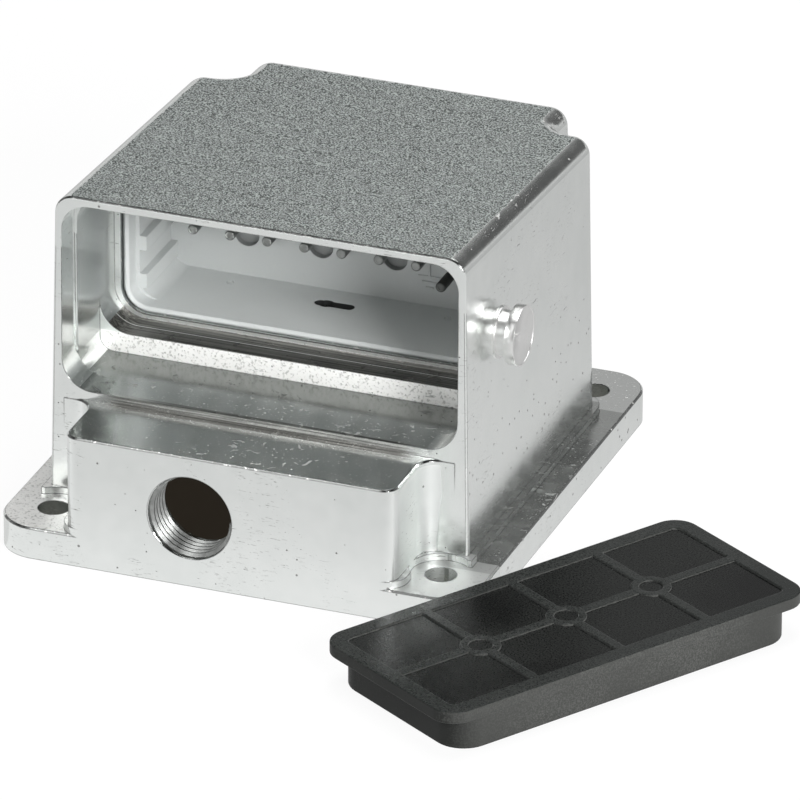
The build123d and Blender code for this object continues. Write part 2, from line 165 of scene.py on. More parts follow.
class Finish:
    """The shader nodes of a material or of the world, added one by one."""

    def __init__(self, owner):
        owner.use_nodes = True
        self.owner, self.tree = owner, owner.node_tree
        made = self.tree.nodes
        self.surface = made.get("Principled BSDF") or made["Background"]

    def node(self, kind, settings=None, sockets=None, out=0):
        """Add a node: its settings first, then its sockets. The wire is its output out."""
        made = self.tree.nodes.new(kind)
        for key, value in (settings or {}).items():
            setattr(made, key, value)
        for key, value in (sockets or {}).items():
            plug(self.tree, made.inputs[key], value)
        return Wire(self.tree, made.outputs[out])

    def where(self):
        """The point on the object, in metres."""
        return self.node("ShaderNodeTexCoord", out="Object")

    def facing(self):
        """The direction of the surface."""
        return self.node("ShaderNodeNewGeometry", out="Normal")

    def rounded(self, radius, samples=4):
        """The direction that the surface would have with rounded edges."""
        return self.node("ShaderNodeBevel", {"samples": samples}, {"Radius": radius})

    def along(self, wire, axis):
        """One number of a vector."""
        return self.node("ShaderNodeSeparateXYZ", None, {"Vector": wire}, out="XYZ".index(axis))

    def stretched(self, size, turn=(0, 0, 0)):
        """The point on the object, with each axis scaled by size."""
        sockets = {"Vector": self.where(), "Rotation": turn, "Scale": size}
        return self.node("ShaderNodeMapping", None, sockets)

    def noise(self, scale, detail=2.0, vector=None, roughness=0.5):
        """Clouds round the middle value 0.5. Scale counts them to the metre."""
        sockets = {"Vector": vector or self.where(), "Scale": scale, "Detail": detail,
                   "Roughness": roughness}
        return self.node("ShaderNodeTexNoise", None, sockets)

    def step(self, wire, low, high):
        """0 below low, 1 above high, and a smooth rise between them."""
        sockets = {"Value": wire, "From Min": low, "From Max": high}
        return self.node("ShaderNodeMapRange", {"interpolation_type": "SMOOTHSTEP"}, sockets)

    def mix(self, share, first, second, kind="FLOAT"):
        """first where share is 0, second where it is 1."""
        one, two, out = MIX_SOCKETS[kind]
        sockets = {0: share, one: first, two: second}
        return self.node("ShaderNodeMix", {"data_type": kind}, sockets, out)

    def colour(self, share, first, second):
        """Colour first where share is 0, colour second where it is 1."""
        return self.mix(share, first, second, "RGBA")

    def bump(self, height, depth, **normal):
        """A surface that rises with height, by depth in metres from 0 to 1."""
        sockets = {"Height": height, "Distance": depth, "Strength": 1.0, **normal}
        return self.node("ShaderNodeBump", None, sockets)

    def set(self, **values):
        """Sockets of the surface itself. An underscore stands for a blank."""
        for key, value in values.items():
            plug(self.tree, self.surface.inputs[key.replace("_", " ")], value)
        return self.owner


def material(name):
    return Finish(bpy.data.materials.new(name))


def between(wire, low, high):
    """1 between low and high, else 0."""
    return (wire > low) * (wire < high)


print("helpers for finishes are ready")

# %% [markdown]
# ## Cast aluminium: telling the surfaces apart
# The housing is one casting with several finishes, so its material has to know
# where it is. A mask is a number that is 1 on one surface and 0 elsewhere. It
# compares the place of a point and the direction of its surface with sizes of
# the housing: the roof looks up and lies high, the plate looks up and lies low.
# In the mating opening the riser is the face that looks forward, the tread the
# ledge above it, and the sill the edge between the block and the recess.

# %% Masks of the housing
LEVEL, STEEP = 0.9, 0.5
ROOF_ABOVE, PLATE_BELOW, PLATE_ENDS = 60 * MM, 8.4 * MM, 30 * MM
STRIP_INNER, STRIP_OUTER, STRIP_FRONT, STRIP_REAR = 34 * MM, 38 * MM, -40 * MM, 36 * MM
NICHE_SIDE, NICHE_FRONT, NICHE_BELOW = 34 * MM, -36 * MM, 27 * MM
STEP_FRONT, BORE_FRONT, MOUTH_MARGIN = -18.2 * MM, -10.3 * MM, 0.4 * MM
RISER_BELOW, TREAD_LOW, TREAD_HIGH = 34.2 * MM, 33 * MM, 36 * MM
TREAD_LINE, LINE_HALF = -13.9 * MM, 0.12 * MM
SILL_FRONT, SILL_LOW, SILL_HIGH, SILL_HALF = -36.9 * MM, 27.5 * MM, 30.2 * MM, 33.5 * MM
RECESS_LOW, RECESS_HIGH, BLOCK_LOW = 29.6 * MM, 31.5 * MM, 27 * MM
SHADE_FROM, SHADE_TO = -37 * MM, -14 * MM
JAMB_ABOVE, JAMB_FRONT, JAMB_REAR = 34 * MM, -35 * MM, -18 * MM


def housing_masks(f):
    """Wires that are 1 on one surface of the housing and 0 elsewhere."""
    m = SimpleNamespace(facing=f.facing())
    across, deep, height = (f.along(f.where(), axis) for axis in "XYZ")
    rightward, upward = f.along(m.facing, "X"), f.along(m.facing, "Z")
    forward = f.along(m.facing, "Y") * -1

    m.low, m.looks_up, m.level = height < ROOF_ABOVE, upward > STEEP, upward > LEVEL
    ragged = upward + (f.noise(900, 1) - 0.5) * 0.04
    m.roof = f.step(ragged, 0.975, 0.985) * (height > ROOF_ABOVE)
    m.arris = between(upward, 0.4, LEVEL) * (forward > 0.4)
    m.band = between(upward, 0.25, 0.975) * (height > ROOF_ABOVE) * (1 - m.arris)

    m.plate = m.level * (height < PLATE_BELOW)
    # Painted reflection: the right of the plate is painted darker.
    m.plate_left, m.plate_right = m.plate * (across < -PLATE_ENDS), m.plate * (across > PLATE_ENDS)
    # Painted shade: the plate at the foot of the right wall is painted darker.
    m.strip = m.plate * f.step(across, STRIP_INNER, STRIP_OUTER)
    m.strip = m.strip * between(deep, STRIP_FRONT, STRIP_REAR)
    m.niche = (across > NICHE_SIDE) * (deep < NICHE_FRONT) * (height < NICHE_BELOW)
    m.niche = m.niche * (forward < 0.99)

    mouth = between(deep, STEP_FRONT - MOUTH_MARGIN, BORE_FRONT + MOUTH_MARGIN)
    m.pale = mouth * (forward > STEEP)
    m.riser = m.pale * (height < RISER_BELOW)
    m.tread = mouth * m.looks_up * between(height, TREAD_LOW, TREAD_HIGH)
    # Painted highlight: a thin bright line across the tread.
    m.line = (deep - TREAD_LINE).math("ABSOLUTE") < LINE_HALF
    m.sill = between(height, SILL_LOW, SILL_HIGH)
    m.sill = m.sill * between(deep, SILL_FRONT - 1.3 * MM, SILL_FRONT + 1.0 * MM)
    ends = f.step(across.math("ABSOLUTE"), SILL_HALF - 5 * MM, SILL_HALF + 1 * MM)
    m.sill = m.sill * (1 - ends)
    # Painted shade: the recess floor is painted darker towards the riser.
    m.corner = m.level * between(height, RECESS_LOW, RECESS_HIGH)
    m.corner = m.corner * f.step(deep, STEP_FRONT - 10.5 * MM, STEP_FRONT - 7.5 * MM)
    m.shade = m.level * between(height, BLOCK_LOW, RECESS_HIGH)
    m.shade = m.shade * (1 - f.step(across, SHADE_FROM, SHADE_TO))
    # Painted shade: the left wall of the opening is painted darker towards the rear.
    m.jamb = (rightward > STEEP) * (height > JAMB_ABOVE) * (across < 0)
    m.jamb = m.jamb * f.step(deep, JAMB_FRONT, JAMB_REAR)
    return m


print("masks are ready for the roof, the plate and the opening")

# %% [markdown]
# ## Cast aluminium: clouds, marks and edges
# The walls are ground and polished: satin rather than a mirror, with slight
# waves, short scratches and small pits. Curled noise, squeezed in height, makes
# the scratches. A Voronoi pattern gives each of its cells a chance, and the
# lucky cells a pit. Soft edges come from a Bevel node, which changes only how
# light falls. Where it differs from the true direction there is an edge, and
# edges get a painted dark line with painted pale glints along it, as painted
# reflection.

# %% Wear of the housing
GRAIN_SCALE, PIT_SCALE, PIT_CHANCE = 3000, 480, 0.6
EDGE_RADIUS = 0.3 * MM
CURL = {"Scale": 1.0, "Detail": 1.0, "Distortion": 1.4}


def housing_wear(f, m):
    """Add the clouds, the marks and the edges to the masks."""
    m.cloud, m.fine_cloud = f.noise(45, 2), f.noise(260, 2)
    m.grain = f.noise(GRAIN_SCALE, 1, roughness=0.6)
    m.streak = f.noise(1, 3, f.stretched((35, 3000, 3000)))
    m.worn = f.step(f.noise(2000, 3), 0.28, 0.50)

    squeezed = f.stretched((430, 430, 3600), (0.16, 0.2, 0))
    marks = f.node("ShaderNodeTexNoise", None, {"Vector": squeezed, **CURL})
    scratch = f.step(marks, 0.67, 0.70) * f.step(f.noise(60, 1), 0.46, 0.60)
    speck = f.step(f.noise(2000, 1), 0.70, 0.73) * m.level * m.low
    cell = {"Vector": f.where(), "Scale": PIT_SCALE}
    chance = f.along(f.node("ShaderNodeTexVoronoi", None, cell, out="Color"), "X")
    pit_size = 0.04 + 0.25 * (chance - PIT_CHANCE)
    m.pit = (f.node("ShaderNodeTexVoronoi", None, cell) < pit_size) * (chance > PIT_CHANCE)
    m.flaw = m.pit.math("MAXIMUM", scratch * 0.8).math("MAXIMUM", speck)

    m.rounded = f.mix(m.sill, f.rounded(EDGE_RADIUS, 6), m.facing, "VECTOR")
    dot, pair = {"operation": "DOT_PRODUCT"}, {0: m.rounded, 1: m.facing}
    likeness = f.node("ShaderNodeVectorMath", dot, pair, out="Value")
    # Painted reflection: a dark line along the edges, with pale glints on it.
    m.edge = (f.step(likeness, 0.998, 0.94) * m.low).math("MAXIMUM", m.arris)
    m.nick = m.edge * f.step(f.noise(1500, 2), 0.61, 0.67)


print("marks and edges are ready")

# %% [markdown]
# ## Cast aluminium: the colours
# Polished metal shows what it mirrors, so its own colour only scales that. The
# layers below go on one after another, each where its mask is 1. Many of them
# are painted shade and painted reflection: a darker colour where the small set
# has no darker thing for a surface to mirror. So the recess corner, the left of
# the block top, the right of the plate, the plate at the foot of the right wall,
# the niche and the rear of the left jamb are painted darker. Pits and scratches
# are real, but their colour is painted light: a pit scatters light, so it is
# painted bright on a face that mirrors the sky and dark on one that mirrors the
# floor. Edges get a painted dark line with painted pale glints, the sill painted
# lines of highlight and shade, and the tread painted shade with a painted
# highlight line. The riser is only partly metal, which keeps it as pale as a
# rough white face, and the roof is blasted and grainy.

# %% The housing's finish
def housing_colour(f, m):
    """Layer on layer of colour, each where its mask is 1."""
    # Painted light: pits and scratches are painted bright where the face looks up and dark
    # elsewhere.
    mark = f.colour(m.looks_up, (0.22, 0.22, 0.21), (1.0, 1.0, 0.98))
    worn = f.colour(m.worn, (0.55, 0.55, 0.53), (1.0, 1.0, 0.98))
    grains = f.colour(f.step(m.grain, 0.38, 0.64), (0.07, 0.078, 0.075), (0.52, 0.555, 0.54))
    # Painted highlight and shade: light and dark lines along the sill.
    lip = f.colour(f.step(m.streak, 0.35, 0.65), (0.20, 0.20, 0.19), (0.62, 0.62, 0.60))
    # Painted shade: the tread is painted dark, with the painted highlight line on it.
    cut = f.colour(f.step(m.streak, 0.35, 0.7), (0.08, 0.078, 0.072), (0.30, 0.29, 0.27))
    cut = f.colour(m.line, cut, (0.9, 0.9, 0.88))
    clouds = m.cloud * 0.6 + m.fine_cloud * 0.4
    colour = f.colour(clouds, (0.74, 0.77, 0.755), (0.95, 0.965, 0.95))
    for share, tint in (
        # real pits and scratches, with painted light in their colour
        (m.flaw * 0.8, mark),
        # painted shade on the recess floor beside the riser
        (m.corner, (0.21, 0.22, 0.21)),
        (m.shade * 0.9, (0.24, 0.25, 0.24)),
        # painted reflection: the right of the plate darker
        (m.plate_right * 0.8, (0.50, 0.51, 0.50)),
        # painted shade at the foot of the right wall
        (m.strip, (0.36, 0.37, 0.36)),
        # painted shade deep in the left jamb
        (m.jamb * 0.6, (0.26, 0.27, 0.265)),
        (m.plate_left * 0.9, worn),
        # painted shade on the plate in the niche at the front right
        (m.plate * m.niche * 0.4, (0.3, 0.3, 0.3)),
        (m.riser * (1 - m.flaw), worn),
        (m.band * 0.25, (0.30, 0.31, 0.30)),
        # painted reflection: a dark line along the edges, then pale glints on it
        (m.edge * 0.85, (0.05, 0.052, 0.05)),
        (m.nick, (0.46, 0.46, 0.45)),
        (m.roof, grains),
        # painted lines of highlight and shade on the sill
        (m.sill, lip),
        # painted shade and a painted highlight line on the tread
        (m.tread, cut),
    ):
        colour = f.colour(share, colour, tint)
    return colour


def aluminium():
    f = material("cast aluminium")
    m = housing_masks(f)
    housing_wear(f, m)
    smooth = 0.20 + (m.cloud - 0.5) * 0.14 + (m.fine_cloud - 0.5) * 0.12 + m.flaw * 0.4
    dull = m.plate * 0.06 + m.plate_left * 0.2 + m.niche * 0.25
    relief = m.cloud * 0.5 + m.fine_cloud * 0.03 - m.pit * 0.04 + m.pale * (m.grain - 0.5) * 0.06
    relief = f.mix(m.roof, relief, m.grain * 0.9)
    return f.set(
        Metallic=1 - m.riser * 0.7,
        Base_Color=housing_colour(f, m),
        Roughness=f.mix(m.roof, smooth + dull + m.pale * 0.34 + m.tread * 0.1, 0.6),
        Normal=f.bump(relief, 0.12 * MM, Normal=m.rounded),
    )


cast_aluminium = aluminium()
print("made", cast_aluminium.name, "with", len(cast_aluminium.node_tree.nodes), "nodes")

# %% [markdown]
# ## Turned steel, silver and zinc
# The pegs are turned on a lathe, which leaves fine rings round the axis that
# pull highlights into thin lines. The contacts are silver plated, the earth
# contact is duller, and the cable thread is cut into the bare casting. The
# screws and the earth plate are zinc plated: a cooler, slightly mottled metal.

# %% Finishes of the small metal parts
RING_PITCH = 0.25 * MM


def plated(name, dark, light, smooth, mottle):
    """A metal whose colour and gloss vary in spots, mottle of them to the metre."""
    f = material(name)
    spots = f.noise(mottle, 3)
    return f.set(
        Metallic=1.0,
        Base_Color=f.colour(spots, dark, light),
        Roughness=smooth + spots * 0.16,
        Normal=f.bump(f.noise(6000, 2), 0.004 * MM),
    )


def turned(name, axis_y, axis_z):
    """Rings round an axis that runs along X."""
    f = material(name)
    moved = {"Vector": f.where(), "Location": (0, -axis_y, -axis_z)}
    centred = f.node("ShaderNodeMapping", None, moved)
    flat = f.node("ShaderNodeVectorMath", {"operation": "MULTIPLY"}, {0: centred, 1: (0, 1, 1)})
    radius = f.node("ShaderNodeVectorMath", {"operation": "LENGTH"}, {0: flat}, out="Value")
    rings = (radius * (2 * math.pi / RING_PITCH)).math("SINE")
    cloud = f.noise(300, 2)
    pit = f.step(f.noise(1900, 1), 0.27, 0.24)
    return f.set(
        Metallic=1.0,
        Base_Color=f.colour(cloud - pit * 0.5, (0.74, 0.74, 0.73), (0.92, 0.92, 0.91)),
        Roughness=0.24 + cloud * 0.14 + pit * 0.3,
        Normal=f.bump(rings * 0.3 + cloud * 0.4 - pit * 2.0, 0.006 * MM),
    )


peg_low, peg_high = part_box("locking_peg_right")
peg_centre = (peg_low + peg_high) / 2
turned_steel = turned("turned steel", peg_centre.y, peg_centre.z)
silver = plated("silver plate", (0.18, 0.185, 0.18), (0.38, 0.39, 0.38), 0.24, 900)
dull_metal = plated("dull plate", (0.05, 0.052, 0.05), (0.13, 0.135, 0.13), 0.30, 700)
cut_metal = plated("cut aluminium", (0.16, 0.165, 0.16), (0.46, 0.47, 0.46), 0.24, 900)
zinc = plated("zinc plate", (0.50, 0.53, 0.57), (0.72, 0.74, 0.78), 0.26, 500)
for finish in (turned_steel, silver, dull_metal, cut_metal, zinc):
    print("made", finish.name)

# %% [markdown]
# ## Grey plastic and rubber
# The insert is moulded in light grey plastic with a fine, even skin, and the
# gasket is matt rubber. Moulded parts are never quite flat, so each gets a faint
# wave and a fine grain in its relief as well as in its gloss. The small recesses
# in the insert's back wall and the slot in its floor get painted shade: a mask
# darkens them.

# %% Finishes of the insert and the gasket
HOLLOW_DARK, RECESS_SHARE = (0.02, 0.022, 0.021), 0.45
SLOT_HALF, SLOT_FRONT, SLOT_REAR, SLOT_BELOW = 6 * MM, 1 * MM, 8 * MM, 36.2 * MM
BACK_FRONT, BACK_REAR = 10.95 * MM, 13 * MM


def moulded(name, dark, light, smooth, uneven, wave, edge, hollow=None):
    """hollow gives a mask of the places deep in a hole, which little light reaches."""
    f = material(name)
    cloud, grain = f.noise(70, 3), f.noise(2500, 2)
    colour = f.colour(cloud * 0.7 + grain * 0.3, dark, light)
    if hollow:
        # Painted shade deep in the holes of the insert.
        colour = f.colour(hollow(f), colour, HOLLOW_DARK)
    return f.set(
        Base_Color=colour,
        Roughness=smooth + (cloud - 0.5) * uneven + grain * 0.06,
        Normal=f.bump(cloud * wave + grain * 0.03, 0.1 * MM, Normal=f.rounded(edge)),
    )


def insert_holes(f):
    """Inside the recesses of the back wall, and inside the slot in the floor."""
    x, y, z = (f.along(f.where(), axis) for axis in "XYZ")
    slot = between(x, -SLOT_HALF, SLOT_HALF) * between(y, SLOT_FRONT, SLOT_REAR) * (z < SLOT_BELOW)
    return slot.math("MAXIMUM", between(y, BACK_FRONT, BACK_REAR) * RECESS_SHARE)


grey_plastic = moulded("grey plastic", (0.54, 0.56, 0.555), (0.62, 0.64, 0.635),
                       0.5, 0.08, 0.1, 0.3 * MM, hollow=insert_holes)
rubber = moulded("gasket rubber", (0.015, 0.015, 0.015), (0.04, 0.04, 0.04),
                 0.75, 0.1, 0.5, 0.1 * MM)
print("made", grey_plastic.name, "and", rubber.name)

# %% [markdown]
# ## Black plastic
# The cover is black and nearly mirror-free, so what shows is its dust. It lies
# in patches and speckles. The cells are darker than the ribs and the border.
# The upright sides are paler than the top, and paler still where they face to
# the right: painted light, with the dust over it. The mirror strength is set
# low, because a black face that looks up would else show the grey sky.

# %% Finish of the cover
COVER_TOP = 9.5 * MM
CELL_BELOW = COVER_TOP - 0.25 * MM
WEAK_MIRROR = 0.12


def dusty():
    f = material("black plastic")
    rightward, upward = f.along(f.facing(), "X"), f.along(f.facing(), "Z")
    side = upward < STEEP
    cell = (upward > STEEP) * (f.along(f.where(), "Z") < CELL_BELOW)
    patch, speckle = f.step(f.noise(34, 2), 0.40, 0.62), f.noise(3000, 2)
    dust = f.step(speckle, 0.35, 0.75) * (0.25 + patch * 0.75)
    top = f.colour(dust, (0.014, 0.016, 0.015), (0.036, 0.038, 0.036))
    low = f.colour(dust, (0.0003, 0.0006, 0.0005), (0.022, 0.024, 0.022))
    # Painted light: the upright sides are paler, more so where they face right, with dust on them.
    flank = f.colour(dust * 0.6 + rightward * 0.45, (0.016, 0.017, 0.016), (0.10, 0.102, 0.097))
    return f.set(
        Base_Color=f.colour(side, f.colour(cell, top, low), flank),
        Roughness=0.24 + dust * 0.3 + side * 0.12,
        Specular_IOR_Level=WEAK_MIRROR,
        Normal=f.bump(f.noise(70, 3) * 0.6, 0.1 * MM, Normal=f.rounded(EDGE_RADIUS)),
    )


black_plastic = dusty()
print("made", black_plastic.name)

# %% [markdown]
# ## Giving the measured solids their finish
# Every measured solid gets the finish that belongs to the start of its name.
# The contacts, the pegs and the cover are replaced by finer pieces further on.
# They are dressed as well, so that no solid stays bare.

# %% Dress the measured solids
FINISHES = {
    "housing": cast_aluminium, "locking_peg": turned_steel, "contact_insert": grey_plastic,
    "terminal_block": grey_plastic, "contact_pin": silver, "earth_pin": silver,
    "earth_plate": zinc, "base_gasket": rubber, "dust_cover": black_plastic,
}


def dress(piece, finish):
    """Give a piece one finish only."""
    piece.data.materials.clear()
    piece.data.materials.append(finish)


for name, node in nodes.items():
    dress(node, next(finish for start, finish in FINISHES.items() if name.startswith(start)))
print(len(nodes), "measured solids have a finish")

# %% [markdown]
# ## Modelling by hand, in code
# Each new piece starts as a primitive at its size and place. Faces or edges are
# then chosen by where they are, and shaped with the edit mode's own tools. The
# helpers below do what the hand does between two tools: leave edit mode, clear
# the selection, choose, and at the end smooth the piece, give it its finish and
# say which body it belongs to.

# %% Helpers for modelling
QUARTER = math.radians(90)


def take(*pieces):
    """Leave edit mode with only these pieces selected, the first one active."""
    if bpy.context.object and bpy.context.object.mode == "EDIT":
        bpy.ops.object.mode_set(mode="OBJECT")
    bpy.ops.object.select_all(action="DESELECT")
    for piece in pieces:
        piece.select_set(True)
    if pieces:
        bpy.context.view_layer.objects.active = pieces[0]


def primitive(kind, name, **sizes):
    """Add a primitive, with its place and size put into its mesh."""
    take()
    getattr(bpy.ops.mesh, f"primitive_{kind}_add")(**sizes)
    piece = bpy.context.object
    piece.name = name
    bpy.ops.object.transform_apply(location=True, rotation=True, scale=True)
    return piece


def choose(piece, what, test):
    """Select in edit mode the faces or edges for which test(middle, direction) holds."""
    bpy.ops.object.mode_set(mode="EDIT")
    bpy.ops.mesh.select_mode(type=what)
    bpy.ops.mesh.select_all(action="DESELECT")
    mesh = bmesh.from_edit_mesh(piece.data)
    if what == "FACE":
        for face in mesh.faces:
            face.select_set(bool(test(face.calc_center_median(), face.normal)))
    else:
        for edge in mesh.edges:
            a, b = (v.co for v in edge.verts)
            edge.select_set(bool(test((a + b) / 2, (b - a).normalized())))
    bmesh.update_edit_mesh(piece.data)
    bpy.ops.object.mode_set(mode="OBJECT")
    bpy.ops.object.mode_set(mode="EDIT")


def push(x, y, z):
    """Extrude the chosen faces and move them."""
    bpy.ops.mesh.extrude_region_move(TRANSFORM_OT_translate={"value": (x, y, z)})


def join(name, pieces):
    """Make one object of several."""
    take(*pieces)
    bpy.ops.object.join()
    pieces[0].name = name
    return pieces[0]


def modify(piece, kind, **settings):
    """Add a modifier and apply it."""
    take(piece)
    modifier = piece.modifiers.new(kind.lower(), kind)
    for key, value in settings.items():
        setattr(modifier, key, value)
    bpy.ops.object.modifier_apply(modifier=modifier.name)


def soften(piece, width, segments, over=None):
    """Bevel the edges, or only those that turn by more than over degrees."""
    limit = {"limit_method": "ANGLE", "angle_limit": math.radians(over)} if over else {}
    modify(piece, "BEVEL", width=width * MM, segments=segments, **limit)


def hand_over(piece, finish, slot, *stands_for, smooth=35, weighted=False):
    """Smooth below an angle, finish and attach a piece. It may stand for measured
    nodes. Weighted normals keep large flat faces flat beside their bevels."""
    take(piece)
    bpy.ops.object.shade_smooth_by_angle(angle=math.radians(smooth))
    if weighted:
        modify(piece, "WEIGHTED_NORMAL", keep_sharp=True)
    dress(piece, finish)
    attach(piece, "root")
    if stands_for:
        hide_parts(*stands_for)
    return piece


def copy_to(piece, name, move):
    """A copy with its own mesh, moved by the matrix move."""
    twin = piece.copy()
    twin.data = piece.data.copy()
    twin.data.transform(move)
    twin.name = name
    bpy.context.scene.collection.objects.link(twin)
    return twin


print("helpers for modelling are ready")

# %% [markdown]
# ## The locking pegs
# Each peg is a turned stud: a thin ring against the wall, a neck for the
# lever's hook and a flat wider head. It is one cylinder for the neck, one for
# the head and one for the ring. The head's outer face is inset and pushed back
# a little, which makes the small step that a lathe leaves at the edge of a
# face. A bevel then rounds the sharp edges.

# %% Make the pegs
NECK_RADIUS, HEAD_LENGTH = 4.6 * MM, 2.0 * MM
RING_RADIUS, RING_LENGTH, RING_SUNK = 5.3 * MM, 0.35 * MM, 0.1 * MM
WALL_TO_HEAD = 2.8 * MM
RIM_WIDTH, RIM_STEP = 0.35 * MM, 0.12 * MM


def disc(name, radius, start, end, side, y, z):
    """A cylinder across X from start to end on one side of the housing."""
    return primitive("cylinder", name, vertices=64, radius=radius, depth=abs(end - start),
                     location=(side * (start + end) / 2, y, z), rotation=(0, QUARTER, 0))


def peg(side, node):
    low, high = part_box(node)
    y, z = (low.y + high.y) / 2, (low.z + high.z) / 2
    outer = max(high.x, -low.x)
    inner, back = outer - (high.x - low.x), outer - HEAD_LENGTH
    wall = back - WALL_TO_HEAD
    neck = disc("neck", NECK_RADIUS, inner, back, side, y, z)
    ring = disc("ring", RING_RADIUS, wall - RING_SUNK, wall + RING_LENGTH, side, y, z)
    head = disc("head", (high.z - low.z) / 2, back, outer, side, y, z)
    choose(head, "FACE", lambda c, n: n.x * side > LEVEL)
    bpy.ops.mesh.inset(thickness=RIM_WIDTH, depth=0)
    push(-side * RIM_STEP, 0, 0)
    soften(head, 0.12, 2, over=50)
    soften(ring, 0.1, 2, over=50)
    return join(f"turned_peg_{'right' if side > 0 else 'left'}", [head, neck, ring])


for side, node in ((1, "locking_peg_right"), (-1, "locking_peg_left")):
    made = hand_over(peg(side, node), turned_steel, "turned_steel", node)
    print("made", made.name, len(made.data.polygons), "faces")

# %% [markdown]
# ## The contacts
# A contact is a silvered pin with a round nose and a dimple in its tip, and a
# square clamp barrel with a hole for the wire behind it. All fifteen are alike,
# so one is modelled and copied, each copy with its own mesh. The nose is the
# end face of a cylinder, rounded with a bevel of several segments.

# %% Make the contacts
CONTACTS = 15
PIN_RADIUS, NOSE_ROUND = 1.05 * MM, 0.32 * MM
TIP_RIM, TIP_DIMPLE = 0.3 * MM, 0.1 * MM
BARREL, BARREL_WALL, WIRE_DEPTH = 3.8 * MM, 0.7 * MM, 7 * MM
pin_boxes = [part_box(f"contact_pin_{number:02d}") for number in range(1, CONTACTS + 1)]
block_low, block_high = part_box("terminal_block")


def contact(name, low, high):
    """A contact that fills the box of a measured one."""
    x, _, z = (low + high) / 2
    shoulder = block_low.y
    pin = primitive("cylinder", "pin", vertices=32, radius=PIN_RADIUS, depth=shoulder - low.y,
                    location=(x, (shoulder + low.y) / 2, z), rotation=(QUARTER, 0, 0))
    choose(pin, "FACE", lambda c, n: n.y < -LEVEL)
    bpy.ops.mesh.bevel(offset=NOSE_ROUND, segments=3, affect="EDGES")
    choose(pin, "FACE", lambda c, n: n.y < -0.99)
    bpy.ops.mesh.inset(thickness=TIP_RIM)
    push(0, TIP_DIMPLE, 0)
    barrel = primitive("cube", "barrel", size=1, location=(x, (shoulder + high.y) / 2, z),
                       scale=(BARREL, high.y - shoulder, BARREL))
    choose(barrel, "FACE", lambda c, n: n.y > LEVEL)
    bpy.ops.mesh.inset(thickness=BARREL_WALL)
    push(0, -WIRE_DEPTH, 0)
    soften(barrel, 0.12, 2, over=40)
    return join(name, [pin, barrel])


first_low, first_high = pin_boxes[0]
first = contact("silver_contact_01", first_low, first_high)
contacts = [first]
for number, (low, high) in enumerate(pin_boxes[1:], start=2):
    move = Matrix.Translation((low + high) / 2 - (first_low + first_high) / 2)
    contacts.append(copy_to(first, f"silver_contact_{number:02d}", move))
for number, piece in enumerate(contacts, start=1):
    hand_over(piece, silver, "contact_metal", f"contact_pin_{number:02d}")
earth = contact("silver_earth_contact", *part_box("earth_pin"))
hand_over(earth, dull_metal, "contact_metal", "earth_pin")
print("made", len(contacts) + 1, "contacts of", len(first.data.polygons), "faces")

# %% [markdown]
# ## The clamp screws
# Fifteen small slotted screws clamp the wires, in the top and the bottom of the
# terminal block, where only the underside shows them. A screw is a cylinder
# whose top is rounded, with its slot cut by a Boolean modifier.

# %% Make one clamp screw, then all
CLAMP_SUNK, CLAMP_FROM_REAR = 0.6 * MM, 4.0 * MM
CLAMP_TURN = 0.9


def slotted(name, radius, length, slot_width, slot_depth, rounding):
    """A screw that stands on its end at the origin, its slot on top."""
    screw = primitive("cylinder", name, vertices=32, radius=radius * MM, depth=length * MM,
                      location=(0, 0, -length * MM / 2))
    choose(screw, "FACE", lambda c, n: n.z > LEVEL)
    bpy.ops.mesh.bevel(offset=rounding * MM, segments=3, affect="EDGES")
    cutter = primitive("cube", "cutter", size=1, location=(0, 0, 0),
                       scale=(3 * radius * MM, slot_width * MM, 2 * slot_depth * MM))
    modify(screw, "BOOLEAN", object=cutter, operation="DIFFERENCE", solver="EXACT")
    bpy.data.objects.remove(cutter)
    return screw


clamp_y = block_high.y - CLAMP_FROM_REAR
clamp = slotted("clamp_screw", 1.25, 2.4, 0.5, 0.7, 0.25)
upper_row = max(low.z for low, high in pin_boxes)
for number, (low, high) in enumerate(pin_boxes, start=1):
    x = (low.x + high.x) / 2
    if low.z > upper_row - MM:
        move = Matrix.Translation((x, clamp_y, block_high.z - CLAMP_SUNK))
    else:
        move = Matrix.Translation((x, clamp_y, block_low.z + CLAMP_SUNK))
        move = move @ Matrix.Rotation(math.pi, 4, "X")
    move = move @ Matrix.Rotation(number * CLAMP_TURN, 4, "Z")
    hand_over(copy_to(clamp, f"clamp_screw_{number:02d}", move), zinc, "zinc_steel")
bpy.data.objects.remove(clamp)
print("made", len(pin_boxes), "clamp screws")

# %% [markdown]
# ## The screws behind the bulkhead
# Four pan-head screws hold the insert against the bulkhead, and one with a
# washer holds the earth plate. Only their heads show, so only those are made.
# The head is modelled once, standing up, and each copy is turned to the rear.

